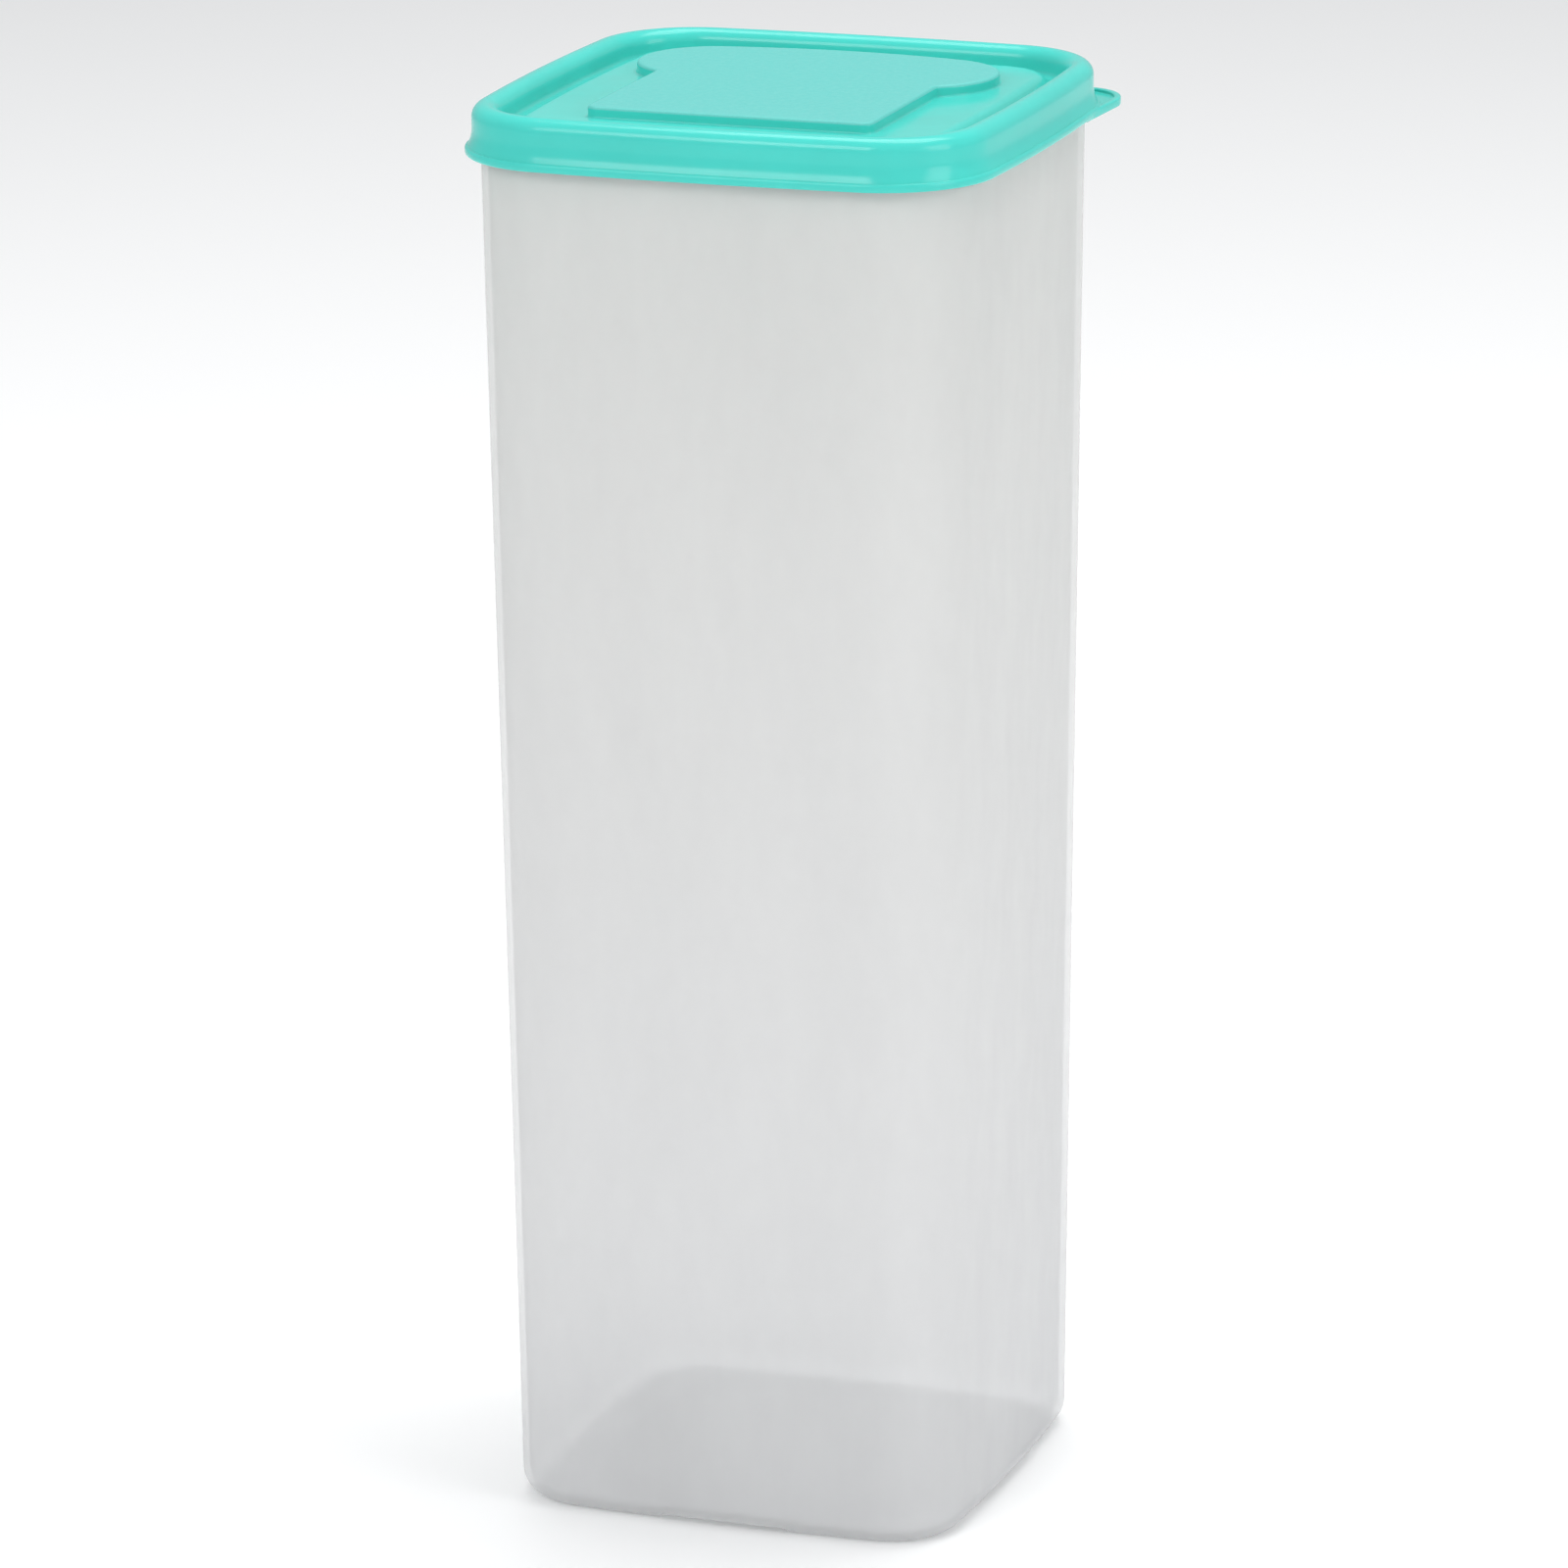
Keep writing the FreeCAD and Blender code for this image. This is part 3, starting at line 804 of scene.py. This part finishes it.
class CANISTER_OT_bin(bpy.types.Operator):
    """Make the milky bin in place of its plain model"""

    bl_idname = "canister.make_bin"
    bl_label = "Make Bin"

    def execute(self, context):
        piece = make_bin(context.scene.canister_bin)
        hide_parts("canister_body")
        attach(piece, "bin")
        return {"FINISHED"}


class CANISTER_OT_lid(bpy.types.Operator):
    """Make the turquoise snap lid in place of its plain model"""

    bl_idname = "canister.make_lid"
    bl_label = "Make Lid"

    def execute(self, context):
        piece = make_lid(context.scene.canister_lid)
        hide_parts("lid")
        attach(piece, "cover")
        return {"FINISHED"}


class CANISTER_OT_stage(bpy.types.Operator):
    """Add the pale floor, soft lights and camera"""

    bl_idname = "canister.make_stage"
    bl_label = "Make Stage"

    def execute(self, context):
        settings = context.scene.canister_stage
        add_floor(settings)
        add_world()
        add_softbox("key_light", (-0.6, -2.1, 1.7), LIGHT_TARGET, (1.4, 1.0), 25 * settings.light)
        add_softbox("top_light", (0.1, 0.5, 2.2), LIGHT_TARGET, (1.8, 1.2), 32 * settings.light)
        add_softbox("side_light", (1.9, -0.5, 0.9), LIGHT_TARGET, (0.9, 1.3), 13 * settings.light)
        add_camera(settings)
        context.scene.view_settings.view_transform = "Standard"
        return {"FINISHED"}


class CANISTER_PT_sidebar(bpy.types.Panel):
    """Lists the canister's operators and settings"""

    bl_idname = "CANISTER_PT_sidebar"
    bl_label = "Bread Canister"
    bl_space_type = "VIEW_3D"
    bl_region_type = "UI"
    bl_category = "Canister"

    def draw(self, context):
        groups = (
            (CANISTER_OT_bin, context.scene.canister_bin),
            (CANISTER_OT_lid, context.scene.canister_lid),
            (CANISTER_OT_stage, context.scene.canister_stage),
        )
        for operator, settings in groups:
            box = self.layout.box()
            for name in settings.bl_rna.properties.keys():
                if name not in ("rna_type", "name"):
                    box.prop(settings, name)
            box.operator(operator.bl_idname)


CLASSES = (
    BinSettings, LidSettings, StageSettings,
    CANISTER_OT_bin, CANISTER_OT_lid, CANISTER_OT_stage, CANISTER_PT_sidebar,
)


def register():
    for item in CLASSES:
        bpy.utils.register_class(item)
    bpy.types.Scene.canister_bin = PointerProperty(type=BinSettings)
    bpy.types.Scene.canister_lid = PointerProperty(type=LidSettings)
    bpy.types.Scene.canister_stage = PointerProperty(type=StageSettings)


def unregister():
    del bpy.types.Scene.canister_stage
    del bpy.types.Scene.canister_lid
    del bpy.types.Scene.canister_bin
    for item in reversed(CLASSES):
        bpy.utils.unregister_class(item)


def main():
    register()
    bpy.ops.canister.make_bin()
    bpy.ops.canister.make_lid()
    bpy.ops.canister.make_stage()


if __name__ == "__main__":
    main()
